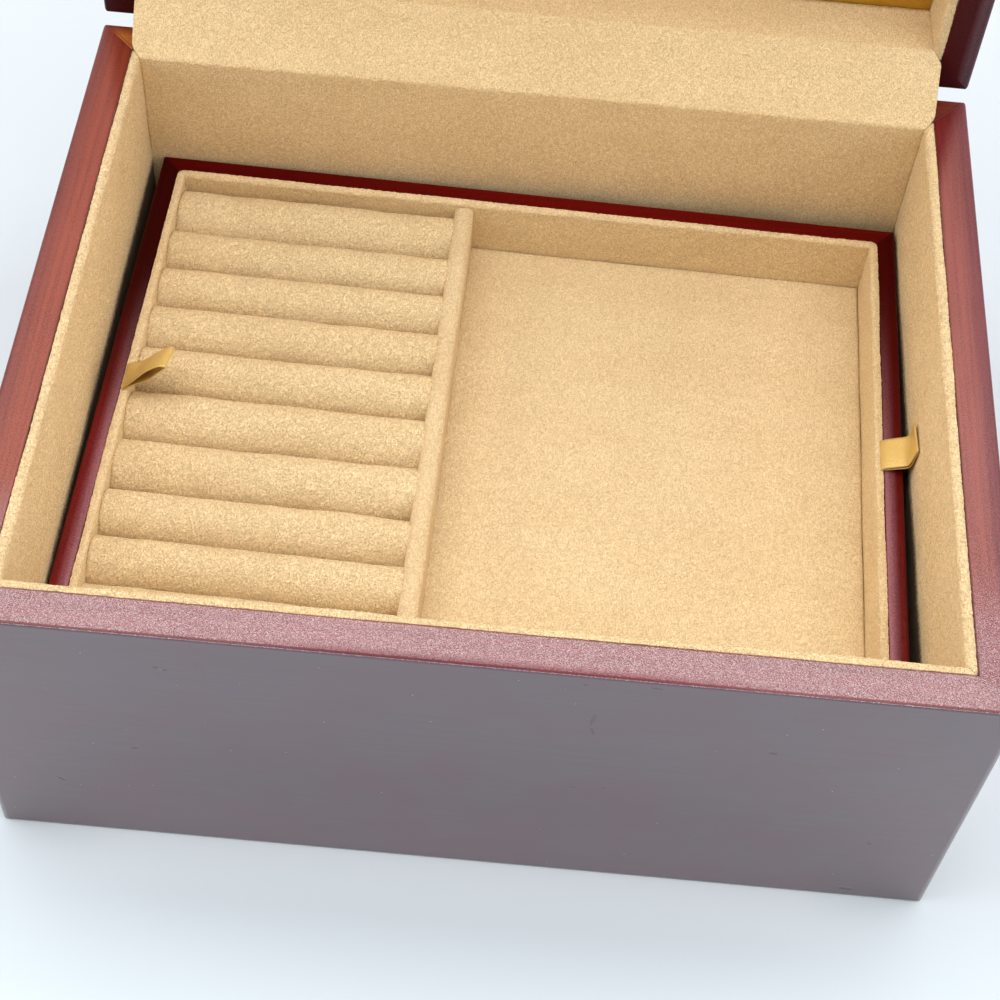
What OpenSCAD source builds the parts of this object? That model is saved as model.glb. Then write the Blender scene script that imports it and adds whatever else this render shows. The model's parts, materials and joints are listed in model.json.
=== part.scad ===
// Jewellery chest with a hinged lid and a lift-out tray for rings.
// Sizes are in millimetres. X runs left to right, Y front to back and Z up,
// with the origin at the middle of the case's underside. The lid stands open.

/* [Case] */
// Outside width of the case
case_w = 300; // [260:1:360]
// Outside depth of the case
case_d = 244; // [210:1:300]
// Height of the case up to its rim
case_h = 123; // [105:1:160]
// Thickness of the lacquered walls of case and lid
wall_t = 12; // [10:0.5:15]
// Rounding of the upright corners
corner_r = 2.5; // [1.5:0.1:4]
// Rounding of the long outer edges
edge_r = 1.2; // [0.5:0.1:2]
// Rounding of the rim's inner edge
rim_r = 0.8; // [0.3:0.1:1.5]
// Thickness of the base board
base_t = 6; // [4:0.5:10]
// How far the base board is let into the walls
base_lap = 6; // [3:0.5:8]

/* [Lining] */
// Thickness of the felt-covered liner boards
liner_t = 3; // [2:0.1:5]
// How far the liner boards stop short of the rim
liner_drop = 0.4; // [0.2:0.1:2]
// Thickness of the felt floor pad
pad_t = 3; // [2:0.5:6]
// Thickness of the boards that carry the tray
rest_t = 6; // [4:0.5:10]
// Rounding of felt-covered edges
felt_r = 1.1; // [0.4:0.1:2]

/* [Lid] */
// Height of the lid from its rim to its top
lid_h = 38; // [32:1:50]
// Thickness of the lid's top board
lid_top_t = 12; // [8:0.5:16]
// Rounding of the lid's top edges
lid_top_r = 3; // [1:0.5:6]
// Thickness of the gold panel inside the lid
lid_panel_t = 3; // [2:0.5:5]
// Gap between the two rims when the lid is shut
rim_gap = 0.4; // [0.2:0.1:1]
// Angle at which the lid stands open
lid_open = 92; // [90:1:100]

/* [Hinges] */
// Distance of the hinge pin behind the back of the case
hinge_out = 2.3; // [2.2:0.1:4]
// Distance from the side of the case to the middle of a hinge
hinge_inset = 60; // [40:1:90]
// Length of a hinge
hinge_len = 40; // [30:1:60]
// Outside diameter of the hinge knuckles
knuckle_d = 4; // [3.6:0.1:4.2]
// Diameter of the hinge pin
pin_d = 2; // [1.6:0.1:2.4]
// Thickness of a hinge leaf
leaf_t = 1.2; // [0.8:0.1:1.5]
// Distance between the two screws of a leaf
screw_pitch = 26; // [18:1:30]
// Head diameter of a hinge screw
screw_head_d = 3.6; // [3:0.1:4]
// Shank diameter of a hinge screw
screw_d = 2; // [1.6:0.1:2.4]
// Length of a hinge screw
screw_len = 10; // [8:0.5:14]

/* [Hinge flap] */
// Thickness of the felt flap
flap_t = 1.2; // [0.8:0.1:1.6]
// Length of the flap glued down on each side of the hinge
flap_tail = 9; // [6:0.5:14]
// Width of the hollow in both back rims that takes the folded flap
fold_w = 5; // [4:0.1:6]

/* [Tray] */
// How far the tray's rim lies below the rim of the case
tray_drop = 46; // [40:1:60]
// Height of the tray's walls
tray_h = 27; // [24:0.5:35]
// Gap round the tray when it lies straight in the case
tray_play = 2.7; // [1.5:0.1:4]
// Thickness of the tray's walls
tray_wall = 6.5; // [5:0.1:9]
// Rounding of the tray's upright corners
tray_corner_r = 1.2; // [0.6:0.1:2]
// Rounding of the tray's long edges
tray_edge_r = 0.9; // [0.4:0.1:1.5]
// Thickness of the tray's base board
tray_base_t = 3; // [2:0.5:5]
// How far the tray's base board is let into its walls
tray_lap = 3; // [2:0.1:4]
// Thickness of the tray's liner boards
tray_liner_t = 3.3; // [2.6:0.1:5]
// How far the tray's liner boards stand above its walls
tray_liner_up = 0.4; // [0:0.1:1.5]
// Thickness of the pad in the open half of the tray
tray_pad_t = 3; // [2:0.5:5]
// Thickness of the divider
divider_t = 6.6; // [4:0.1:9]
// How far the divider stops below the tray's liner boards
divider_drop = 1.8; // [0.5:0.1:4]

/* [Ring rolls] */
// Width of the half that holds the ring rolls
ring_w = 97; // [60:1:130]
// Number of ring rolls
ring_count = 10; // [7:1:12]
// How far the crowns of the rolls lie below the liner boards
roll_drop = 2.2; // [1:0.1:5]
// Height of the rounded crown of a roll
roll_crown = 6.2; // [4:0.1:8]
// Rounding of the ends of a roll
roll_end_r = 2.5; // [1:0.1:5]

/* [Ribbon pulls] */
// Width of the ribbon
ribbon_w = 12; // [8:0.5:16]
// Thickness of one layer of ribbon
ribbon_t = 0.5; // [0.3:0.1:0.8]
// Length of ribbon tucked behind the liner board
ribbon_tail = 14; // [8:0.5:18]
// How far the left pull leans over the rolls
pull_reach = 16; // [10:0.5:20]
// How high the pulls stand above the liner boards
pull_rise = 12; // [8:0.5:16]

/* [Hidden] */
$fn = 64;

// Clearances: flat fits, pin in knuckle, knuckle beside leaf, tray against lining
fit = 0.1;
pin_gap = 0.05;
knuckle_gap = 0.3;
leaf_gap = 0.2;
leaf_land = 0.5;
rub_gap = 0.3;

// How far a cutting shape runs past what it cuts
past = 1;

// Inside of the wooden walls, and inside of the lining
in_w = case_w - 2 * wall_t;
in_d = case_d - 2 * wall_t;
clear_w = in_w - 2 * liner_t;
clear_d = in_d - 2 * liner_t;
base_w = in_w + 2 * base_lap;
base_d = in_d + 2 * base_lap;
floor_z = base_t + pad_t;

// Lid in its shut position, and the hinge pin that it turns on
lid_z = case_h + rim_gap;
lid_rail_h = lid_h - lid_top_t;
lid_panel_z = lid_z + lid_rail_h - lid_panel_t;
hinge_y = case_d / 2 + hinge_out;
hinge_z = case_h + rim_gap / 2;
hinge_x = case_w / 2 - hinge_inset;
leaf_w = wall_t - fold_w - leaf_land;
fold_d = flap_t + fit;
knuckle_w = hinge_len / 3;
case_leaf_z = hinge_z - leaf_gap / 2 - leaf_t;
lid_leaf_z = hinge_z + leaf_gap / 2;

// Tray: it lies turned as far as the play round it lets it
tray_top = case_h - tray_drop;
tray_z = tray_top - tray_h;
tray_w = clear_w - 2 * tray_play;
tray_d = clear_d - 2 * tray_play;
tray_turn = asin(2 * (tray_play - rub_gap) / max(tray_w, tray_d));
tray_in_w = tray_w - 2 * tray_wall;
tray_in_d = tray_d - 2 * tray_wall;
tray_clear_w = tray_in_w - 2 * tray_liner_t;
tray_clear_d = tray_in_d - 2 * tray_liner_t;
tray_floor = tray_z + tray_base_t;
tray_liner_top = tray_top + tray_liner_up;

// Ring half, divider and open half, from left to right
ring_x = -tray_clear_w / 2;
divider_x = ring_x + ring_w;
open_x = divider_x + divider_t;
open_w = tray_clear_w / 2 - open_x;
roll_w = tray_clear_d / ring_count;
roll_h = tray_liner_top - roll_drop - tray_floor;

// A pull is a ribbon folded double, so two layers lie behind the liner board
pull_t = 2 * ribbon_t + fit;
pull_slot_t = pull_t + 2 * fit;

// Sides of a frame, counted anticlockwise from the front
FRONT = 0;
RIGHT = 1;
BACK = 2;
LEFT = 3;

lacquer = [0.36, 0.06, 0.05];
tray_lacquer = [0.30, 0.03, 0.03];
base_colour = [0.20, 0.12, 0.09];
felt = [0.85, 0.71, 0.50];
gold_panel = [0.71, 0.55, 0.18];
ribbon_gold = [0.86, 0.69, 0.33];
brass = [0.78, 0.62, 0.30];

// Shapes that repeat

// What a rounding of radius r takes off a square corner at the origin
module corner_waste(r) {
    difference() {
        translate([-past, -past]) square(r + past);
        translate([r, r]) circle(r);
    }
}

// Rectangle with rounded corners. The radii run from the lower left corner
// anticlockwise, and 0 leaves a corner sharp.
module eased_rect(w, h, radii) {
    difference() {
        square([w, h]);
        if (radii[0] > 0) corner_waste(radii[0]);
        if (radii[1] > 0) translate([w, 0]) mirror([1, 0]) corner_waste(radii[1]);
        if (radii[2] > 0) translate([w, h]) rotate(180) corner_waste(radii[2]);
        if (radii[3] > 0) translate([0, h]) mirror([0, 1]) corner_waste(radii[3]);
    }
}

// Bar along X, centred, with its section drawn in Y and Z
module bar(length) {
    translate([-length / 2, 0, 0]) rotate([90, 0, 90]) linear_extrude(length) children();
}

// Side of a mitred frame along X, with its outer face at y = 0
module mitred_side(length, t, h, radii, post_r) {
    intersection() {
        bar(length) eased_rect(t, h, radii);
        linear_extrude(h) difference() {
            polygon([
                [-length / 2, 0],
                [length / 2, 0],
                [length / 2 - t, t],
                [-length / 2 + t, t]
            ]);
            translate([-length / 2, 0]) corner_waste(post_r);
            translate([length / 2, 0]) mirror([1, 0]) corner_waste(post_r);
        }
    }
}

// Turns a shape that lies along X to one side of a w by d frame
module on_side(side, w, d) {
    rotate([0, 0, 90 * side]) translate([0, -(side % 2 == 0 ? d : w) / 2, 0]) children();
}

function side_length(side, w, d) = side % 2 == 0 ? w : d;

// Felt-covered board against the inside of a w by d frame. The boards at the
// left and right run the full depth, and the other two fit between them.
module liner_board(side, w, d, t, h) {
    length = side % 2 == 0 ? w - 2 * t : d;
    soft = min(felt_r, 0.45 * t);
    on_side(side, w, d) bar(length) eased_rect(t, h, [0, 0, soft, soft]);
}

// Block centred on X and Y
module centred_block(w, d, h) {
    translate([-w / 2, -d / 2, 0]) cube([w, d, h]);
}

// Strip of thickness t along a path of points
function path_normal(p, i) = let (run = p[i + 1] - p[i]) [-run[1], run[0]] / norm(run);
function path_offset(p, i, s) =
    i == 0 ? path_normal(p, 0) * s :
    i == len(p) - 1 ? path_normal(p, i - 1) * s :
    let (before = path_normal(p, i - 1), mean = before + path_normal(p, i))
    let (across = mean / norm(mean)) across * s / (across * before);
module strip(path, t) {
    last = len(path) - 1;
    polygon(concat(
        [for (i = [0:last]) path[i] + path_offset(path, i, t / 2)],
        [for (i = [last:-1:0]) path[i] - path_offset(path, i, t / 2)]
    ));
}

// Points of a smooth curve from a to d, pulled towards b and c
function curve(a, b, c, d, steps) = [
    for (k = [0:steps])
        let (t = k / steps, s = 1 - t)
        a * pow(s, 3) + b * 3 * s * s * t + c * 3 * s * t * t + d * pow(t, 3)
];

// Lid movement

// Carries a shape from the shut lid to the open lid
module opened() {
    translate([0, hinge_y, hinge_z])
        rotate([-lid_open, 0, 0])
            translate([0, -hinge_y, -hinge_z]) children();
}

// The same for a point in Y and Z
function swing(p) = let (y = p[0] - hinge_y, z = p[1] - hinge_z) [
    hinge_y + y * cos(lid_open) + z * sin(lid_open),
    hinge_z - y * sin(lid_open) + z * cos(lid_open)
];

// Hinges

// Round bar on the hinge pin's axis, over knuckle k of three
module knuckle(k, r, gap) {
    translate([-hinge_len / 2 + k * knuckle_w + gap, hinge_y, hinge_z])
        rotate([0, 90, 0]) cylinder(r = r, h = knuckle_w - 2 * gap);
}

module leaf_plate(z, grow) {
    translate([-hinge_len / 2 - grow, case_d / 2 - leaf_w - grow, z])
        cube([hinge_len + 2 * grow, leaf_w + hinge_out + grow, leaf_t]);
}

module at_screws() {
    for (side = [-1, 1])
        translate([side * screw_pitch / 2, case_d / 2 - leaf_w / 2, 0]) children();
}

// Countersunk screw pointing down, with its head's face at z = 0
module screw(grow) {
    translate([0, 0, -leaf_t]) cylinder(r1 = screw_d / 2 + grow, r2 = screw_head_d / 2 + grow, h = leaf_t);
    translate([0, 0, -screw_len - grow]) cylinder(d = screw_d + 2 * grow, h = screw_len - leaf_t + 2 * grow);
}

// Hinge leaf with its plate's lower face at z, its own knuckles and those beside it
module hinge_leaf(z, own, beside) {
    difference() {
        union() {
            leaf_plate(z, 0);
            for (k = own) knuckle(k, knuckle_d / 2, fit);
        }
        for (k = beside) knuckle(k, knuckle_d / 2 + knuckle_gap, -fit);
        translate([-hinge_len / 2 - past, hinge_y, hinge_z])
            rotate([0, 90, 0]) cylinder(d = pin_d + 2 * pin_gap, h = hinge_len + 2 * past);
        children();
    }
}

module case_screws(grow) {
    at_screws() translate([0, 0, case_leaf_z + leaf_t]) screw(grow);
}

module lid_screws(grow) {
    at_screws() translate([0, 0, lid_leaf_z]) mirror([0, 0, 1]) screw(grow);
}

module case_leaf() {
    hinge_leaf(case_leaf_z, [0, 2], [1]) case_screws(pin_gap);
}

module lid_leaf() {
    hinge_leaf(lid_leaf_z, [1], [0, 2]) lid_screws(pin_gap);
}

module hinge_pin() {
    translate([-hinge_len / 2, hinge_y, hinge_z]) rotate([0, 90, 0]) cylinder(d = pin_d, h = hinge_len);
}

module at_hinge(side) {
    translate([side * hinge_x, 0, 0]) children();
}

module at_hinges() {
    for (side = [-1, 1]) at_hinge(side) children();
}

// Case

module base_space() {
    translate([0, 0, -past]) centred_block(base_w, base_d, base_t + past);
}

// Hollow for the flap's glued end and its fold, for a rim at z that faces up or down
module flap_hollow(z, up) {
    translate([0, in_d / 2 - past, z]) mirror([0, 0, up ? 0 : 1]) {
        translate([-in_w / 2, 0, -flap_tail - fit]) cube([in_w, past + flap_t + 2 * fit, flap_tail + fit + past]);
        translate([-in_w / 2, 0, -fold_d]) cube([in_w, past + fold_w, fold_d + past]);
    }
}

module case_wall(side) {
    color(lacquer) difference() {
        on_side(side, case_w, case_d)
            mitred_side(side_length(side, case_w, case_d), wall_t, case_h, [edge_r, 0, rim_r, edge_r], corner_r);
        base_space();
        if (side == BACK) {
            flap_hollow(case_h, true);
            at_hinges() {
                leaf_plate(case_leaf_z, fit);
                case_screws(fit);
            }
        }
    }
}

module base_board() {
    color(base_colour) centred_block(base_w, base_d, base_t);
}

module case_liner(side) {
    color(felt) translate([0, 0, base_t])
        liner_board(side, in_w, in_d, liner_t, case_h - liner_drop - base_t);
}

module floor_pad() {
    color(felt) translate([0, 0, base_t]) centred_block(clear_w, clear_d, pad_t);
}

module tray_rest(side) {
    color(felt) translate([0, 0, floor_z]) on_side(side, clear_w, clear_d)
        bar(clear_d) eased_rect(rest_t, tray_z - floor_z, [0, 0, felt_r, 0]);
}

// Lid

module lid_rail(side) {
    color(lacquer) opened() difference() {
        translate([0, 0, lid_z]) on_side(side, case_w, case_d)
            mitred_side(side_length(side, case_w, case_d), wall_t, lid_rail_h, [edge_r, rim_r, 0, 0], corner_r);
        if (side == BACK) {
            flap_hollow(lid_z, false);
            at_hinges() {
                leaf_plate(lid_leaf_z, fit);
                lid_screws(fit);
            }
        }
    }
}

module lid_top() {
    color(lacquer) opened() translate([0, 0, lid_z + lid_rail_h]) intersection() {
        linear_extrude(lid_top_t) translate([-case_w / 2, -case_d / 2])
            eased_rect(case_w, case_d, [corner_r, corner_r, corner_r, corner_r]);
        bar(case_w) translate([-case_d / 2, 0]) eased_rect(case_d, lid_top_t, [0, 0, lid_top_r, lid_top_r]);
        rotate([0, 0, 90]) bar(case_d) translate([-case_w / 2, 0])
            eased_rect(case_w, lid_top_t, [0, 0, lid_top_r, lid_top_r]);
    }
}

module lid_panel() {
    color(gold_panel) opened() translate([0, 0, lid_panel_z])
        centred_block(in_w - 2 * fit, in_d - 2 * fit, lid_panel_t);
}

module lid_liner(side) {
    color(felt) opened() translate([0, 0, lid_panel_z]) mirror([0, 0, 1])
        liner_board(side, in_w, in_d, liner_t, lid_panel_z - lid_z - liner_drop);
}

// Hinge flap: from the case's back wall, across the hinge, to the lid's back rail

module hinge_flap() {
    y = in_d / 2 + fit + flap_t / 2;
    path = [
        [y, case_h - flap_tail],
        [y, case_h],
        swing([y, lid_z]),
        swing([y, lid_z + flap_tail])
    ];
    color(felt) bar(in_w - 2 * fit) strip(path, flap_t);
}

// Tray

module in_tray() {
    rotate([0, 0, -tray_turn]) children();
}

module tray_base() {
    color(base_colour) in_tray() translate([0, 0, tray_z])
        centred_block(tray_in_w + 2 * tray_lap, tray_in_d + 2 * tray_lap, tray_base_t);
}

module tray_side(side) {
    color(tray_lacquer) in_tray() translate([0, 0, tray_z]) difference() {
        on_side(side, tray_w, tray_d) mitred_side(
            side_length(side, tray_w, tray_d), tray_wall, tray_h,
            [tray_edge_r, 0, tray_edge_r, tray_edge_r], tray_corner_r);
        translate([0, 0, -past])
            centred_block(tray_in_w + 2 * tray_lap, tray_in_d + 2 * tray_lap, tray_base_t + past);
    }
}

module tray_liner(side) {
    color(felt) in_tray() translate([0, 0, tray_floor]) difference() {
        liner_board(side, tray_in_w, tray_in_d, tray_liner_t, tray_liner_top - tray_floor);
        if (side == LEFT || side == RIGHT)
            on_side(side, tray_in_w, tray_in_d)
                translate([-ribbon_w / 2 - fit, -past, tray_liner_top - tray_floor - ribbon_tail - fit])
                    cube([ribbon_w + 2 * fit, past + pull_slot_t, ribbon_tail + fit + past]);
    }
}

module tray_divider() {
    color(felt) in_tray() translate([divider_x, 0, tray_floor]) rotate([0, 0, 90])
        bar(tray_clear_d) mirror([1, 0])
            eased_rect(divider_t, tray_liner_top - divider_drop - tray_floor, [0, 0, felt_r, felt_r]);
}

module tray_pad() {
    color(felt) in_tray() translate([open_x + open_w / 2, 0, tray_floor])
        centred_block(open_w - 2 * fit, tray_clear_d - 2 * fit, tray_pad_t);
}

// Section of a ring roll: upright sides under a round crown
module roll_section(w, h) {
    crown = min(roll_crown, 0.49 * w);
    crown_r = (w * w / 4 + crown * crown) / (2 * crown);
    translate([-w / 2, 0]) square([w, h - crown]);
    intersection() {
        translate([0, h - crown_r]) circle(crown_r);
        translate([-w / 2, 0]) square([w, h]);
    }
}

// Ring rolls are counted from the back of the tray
module ring_roll(i) {
    length = ring_w - 2 * fit;
    color(felt) in_tray()
        translate([ring_x + ring_w / 2, tray_clear_d / 2 - (i - 0.5) * roll_w, tray_floor]) intersection() {
            bar(length) roll_section(roll_w - fit, roll_h);
            rotate([0, 0, 90]) bar(roll_w) translate([-length / 2, 0])
                eased_rect(length, roll_h, [0, 0, roll_end_r, roll_end_r]);
        }
}

// Ribbon pulls. Their paths are drawn in X and Z, and x = 0 is the inside of
// the tray's wall, with the tray's middle at positive x.

module pull(path, t, mirrored) {
    color(ribbon_gold) in_tray() mirror([mirrored ? 1 : 0, 0, 0])
        translate([-tray_in_w / 2, ribbon_w / 2, tray_liner_top]) rotate([90, 0, 0])
            linear_extrude(ribbon_w) strip(path, t);
}

// Left pull: a loop that leans inwards over the first rolls
module pull_left() {
    outer = [fit + ribbon_t / 2, 0];
    inner = outer + [ribbon_t + fit, 0];
    tip = [pull_reach, pull_rise];
    tip_r = 2.5 * ribbon_t;
    lean = atan2(pull_rise, pull_reach);
    along = [cos(lean), sin(lean)];
    above = [-sin(lean), cos(lean)];
    stand = 0.3 * pull_rise;
    belly = 0.25 * pull_rise;
    upper_run = 0.6 * pull_reach;
    lower_run = 0.4 * pull_reach;
    steps = 8;
    upper_end = tip + tip_r * above;
    lower_end = tip - tip_r * above;
    path = concat(
        [outer - [0, ribbon_tail]],
        curve(outer, outer + [0, stand], upper_end - upper_run * along, upper_end, steps),
        [for (a = [60:-30:-60]) tip + tip_r * [cos(lean + a), sin(lean + a)]],
        curve(lower_end, lower_end - lower_run * along - belly * above, inner + [0, stand], inner, steps),
        [inner - [0, ribbon_tail]]
    );
    pull(path, ribbon_t, false);
}

// Right pull: folded flat, laid outwards over the tray's wall and creased upwards
module pull_right() {
    middle = fit + pull_t / 2;
    clear = pull_t / 2 + rub_gap;
    slope = 0.15 * pull_rise;
    turn_up = 0.2 * pull_rise;
    crease = [-tray_wall - ribbon_t, clear + slope];
    path = [
        [middle, -ribbon_tail],
        [middle, clear / 2],
        [0, clear],
        crease,
        crease + [-pull_t, turn_up],
        [crease[0] - pull_t, pull_rise]
    ];
    pull(path, pull_t, true);
}

// Nodes

case_wall(FRONT);  // case_front
case_wall(RIGHT);  // case_right
case_wall(BACK);  // case_back
case_wall(LEFT);  // case_left
base_board();
case_liner(FRONT);  // liner_front
case_liner(RIGHT);  // liner_right
case_liner(BACK);  // liner_back
case_liner(LEFT);  // liner_left
floor_pad();
tray_rest(LEFT);  // tray_rest_left
tray_rest(RIGHT);  // tray_rest_right
lid_rail(FRONT);  // lid_front
lid_rail(RIGHT);  // lid_right
lid_rail(BACK);  // lid_back
lid_rail(LEFT);  // lid_left
lid_top();
lid_panel();
lid_liner(FRONT);  // lid_liner_front
lid_liner(RIGHT);  // lid_liner_right
lid_liner(BACK);  // lid_liner_back
lid_liner(LEFT);  // lid_liner_left
color(brass) at_hinge(-1) case_leaf();  // hinge_left_case_leaf
color(brass) opened() at_hinge(-1) lid_leaf();  // hinge_left_lid_leaf
color(brass) at_hinge(-1) hinge_pin();  // hinge_left_pin
color(brass) at_hinge(1) case_leaf();  // hinge_right_case_leaf
color(brass) opened() at_hinge(1) lid_leaf();  // hinge_right_lid_leaf
color(brass) at_hinge(1) hinge_pin();  // hinge_right_pin
color(brass) at_hinges() case_screws(0);  // hinge_screws_case
color(brass) opened() at_hinges() lid_screws(0);  // hinge_screws_lid
hinge_flap();
tray_side(FRONT);  // tray_front
tray_side(RIGHT);  // tray_right
tray_side(BACK);  // tray_back
tray_side(LEFT);  // tray_left
tray_base();
tray_liner(FRONT);  // tray_liner_front
tray_liner(RIGHT);  // tray_liner_right
tray_liner(BACK);  // tray_liner_back
tray_liner(LEFT);  // tray_liner_left
tray_divider();
tray_pad();
pull_left();
pull_right();
for (i = [1:ring_count])
    ring_roll(i);
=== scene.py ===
"""Looks of a jewellery chest: lacquered case and lid, felt lining, lift-out ring tray and ribbon pulls.

Lengths are in metres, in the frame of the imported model: +X right, +Y back, +Z up, with the lid open.
"""

import json
import math

import bmesh
import bpy
import numpy as np
from mathutils import Matrix, Vector, noise

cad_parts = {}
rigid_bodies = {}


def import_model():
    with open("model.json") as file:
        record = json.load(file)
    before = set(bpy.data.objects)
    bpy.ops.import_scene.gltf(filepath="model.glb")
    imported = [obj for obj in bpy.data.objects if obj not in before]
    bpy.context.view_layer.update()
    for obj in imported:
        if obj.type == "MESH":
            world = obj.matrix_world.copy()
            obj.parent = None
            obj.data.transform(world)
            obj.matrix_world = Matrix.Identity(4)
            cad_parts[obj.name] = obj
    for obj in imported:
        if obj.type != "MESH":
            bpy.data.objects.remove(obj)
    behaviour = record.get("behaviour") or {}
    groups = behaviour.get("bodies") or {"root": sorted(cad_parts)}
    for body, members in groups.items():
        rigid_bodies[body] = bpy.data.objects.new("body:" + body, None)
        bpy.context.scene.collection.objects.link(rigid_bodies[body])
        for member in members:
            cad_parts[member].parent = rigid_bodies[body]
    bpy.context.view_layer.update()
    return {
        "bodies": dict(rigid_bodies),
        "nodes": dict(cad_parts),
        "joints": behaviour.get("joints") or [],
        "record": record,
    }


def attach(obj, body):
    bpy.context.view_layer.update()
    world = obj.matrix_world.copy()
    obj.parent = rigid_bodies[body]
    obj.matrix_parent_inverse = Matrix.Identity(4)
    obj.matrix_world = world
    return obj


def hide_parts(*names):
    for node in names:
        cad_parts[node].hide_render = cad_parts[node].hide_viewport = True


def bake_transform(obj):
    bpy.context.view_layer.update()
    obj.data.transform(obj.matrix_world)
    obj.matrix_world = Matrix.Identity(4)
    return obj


MM = 0.001
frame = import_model()
NODES = frame["nodes"]
JOINTS = {joint["name"]: joint for joint in frame["joints"]}
SIDES = ("front", "right", "back", "left")

# Camera of the photograph, found from the edges of the case
CAMERA_PLACE = (1.461 * MM, -396.533 * MM, 583.148 * MM)
CAMERA_TILT = 54.264
CAMERA_ROLL = 5.208
CAMERA_PAN = -0.02
CAMERA_LENS = 70.27
CAMERA_SENSOR = 36.0
CAMERA_NEAR = 0.01

# Felt boards
SHARP = 0.15 * MM
BOARD_STEP = 0.8 * MM
CORNER_STEPS = 5
WALL_LIP_POINTS = 5
INNER_LIP_POINTS = 9
FACE_ROWS = 26
FACE_CROWDING = 1.6
LIP_START = 1.3 * MM
LIP_RAMP = 0.9 * MM
TRAY_PRESS = 0.8 * MM
DIVIDER_LIP = 2.4 * MM

# Round edges of a lining: at the wall, on the inside, and at its corners
CASE_EDGES = (0.2 * MM, 1.7 * MM, 0.4 * MM)
TRAY_EDGES = (0.2 * MM, 1.3 * MM, 2.4 * MM)

# Pads, with the places along a round edge as shares of it
SLAB_RIM = np.array([0.0, 0.06, 0.2, 0.42, 0.7, 1.0])
PAD_EDGE = 1.2 * MM
PANEL_EDGE = 1.0 * MM

# Ring rolls, with widths in mm from the back to the front of the tray
ROLL_WIDTHS = (20.3, 17.4, 17.7, 18.5, 18.8, 20.4, 20.4, 18.1, 18.0, 21.0)
ROLL_CROWN = 9.2 * MM
ROLL_END = 1.6 * MM
ROLL_RIM = ROLL_END * np.array([0.0, 0.05, 0.15, 0.3, 0.5, 0.75, 1.0])
ROLL_TUCK = TRAY_PRESS + 0.5 * MM
ROLL_END_CROWN = 0.8
ROLL_END_WIDTH = 0.96
ROLL_STATIONS = 110
CROWN_POINTS = 41

# Slow waves along a roll: depth, length, step of the noise from roll to roll, and its row
ROLL_LEAN = (0.5 * MM, 18 * MM, 7.3, 0.0)
ROLL_LIFT = (0.35 * MM, 30 * MM, 3.1, 5.0)

# Hinge flap
FLAP_THICK = 0.8 * MM
FLAP_BEND = 1.2 * MM
FLAP_FOOT = 2 * MM
FLAP_SHORT = 0.3 * MM
FLAP_CLEAR = 0.1 * MM
BEND_POINTS = 7
CLIMB_POINTS = 45
BRIDGE_POINTS = 26
LID_POINTS = 13

# Ribbon pulls
RIBBON_HALF = 0.15 * MM
RIBBON_COLUMNS = 17

# Uneven surfaces, in layers of feature size and depth
BOARD_NAP = ((0.9 * MM, 0.22 * MM), (22 * MM, 0.3 * MM))
PAD_NAP = ((1.3 * MM, 0.10 * MM), (30 * MM, 0.35 * MM))
PANEL_NAP = ((40 * MM, 0.3 * MM),)
DIVIDER_NAP = ((1.0 * MM, 0.16 * MM), (20 * MM, 0.3 * MM))
ROLL_NAP = ((1.0 * MM, 0.22 * MM), (12 * MM, 0.25 * MM))
FLAP_NAP = ((1.1 * MM, 0.16 * MM), (20 * MM, 0.15 * MM))

# Floor
FLOOR_HALF = 4.0
CASE_HALF = (0.150, 0.122)
FLOOR_FRONT = (0.60, 0.66, 0.695)
FLOOR_BACK = (0.575, 0.61, 0.635)
# Painted light on the floor close to the case, over the case's shadow
FLOOR_PAINTED_LIGHT = (0.72, 0.77, 0.805)
FLOOR_TURN = (-0.20, 0.0)

# Spans of the painted light on the floor before and beside the case, which lightens the case's shadow there,
# across and along the case's edge
BEFORE_CASE = ((0.026, 0.002), (0.005, -0.05))
BESIDE_CASE = ((0.06, 0.0), (0.01, -0.06))

# Room light
ROOM_COLOUR = (0.95, 0.98, 1.0, 1.0)
ROOM_STRENGTH = 0.64

# Lamps: name, place, aim, size, power, and the kind of ray that doesn't see the lamp
LAMPS = (
    ("ceiling_light", (0.0, 0.12, 1.5), (0.0, 0.12, 0.0), (2.0, 1.5), 26.0, "visible_glossy"),
    ("rear_strip", (0.0, 0.58, 1.4), (0.0, 0.58, 0.0), (2.0, 0.49), 18.0, "visible_diffuse"),
    ("side_light_-1", (-1.4, 0.0, 0.6), (0.0, 0.0, 0.1), (1.4, 0.9), 11.4, "visible_glossy"),
    ("side_light_1", (1.4, 0.0, 0.6), (0.0, 0.0, 0.1), (1.4, 0.9), 11.4, "visible_glossy"),
    ("edge_strip", (0.0, -2.4, 0.65), (0.0, 0.0, 0.12), (2.2, 0.3), 16.0, "visible_diffuse"),
)


# Places of the bodies


def node_points(node):
    """Vertices of a CAD node as an array."""
    return np.array([v.co for v in NODES[node].data.vertices])


def lid_place():
    """Carries the shut lid to its open place."""
    hinge = JOINTS["lid_hinge"]
    pivot = Vector(hinge["pos_m"])
    opening = Matrix.Rotation(-math.radians(hinge["range_deg"][1]), 4, "X")
    return Matrix.Translation(pivot) @ opening @ Matrix.Translation(-pivot)


def tray_place():
    """Turns the tray from straight to askew, as its base board lies."""
    corners = node_points("tray_base")
    edge = corners[corners[:, 0].argmax()] - corners[corners[:, 1].argmax()]
    return Matrix.Rotation(math.atan2(edge[1], edge[0]), 4, "Z")


PLACES = {"case": Matrix.Identity(4), "lid": lid_place(), "tray": tray_place()}


def straight_box(node, body):
    """Lowest and highest corner of a node while its body is shut or straight."""
    back = np.array(PLACES[body].inverted())
    points = node_points(node) @ back[:3, :3].T + back[:3, 3]
    return points.min(0), points.max(0)


# Mesh building


def arc(centre, radius, start, end, count):
    """Points on an arc in a plane, with its angles in degrees."""
    angles = np.radians(np.linspace(start, end, count))
    return np.column_stack([centre[0] + radius * np.cos(angles), centre[1] + radius * np.sin(angles)])


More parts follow.
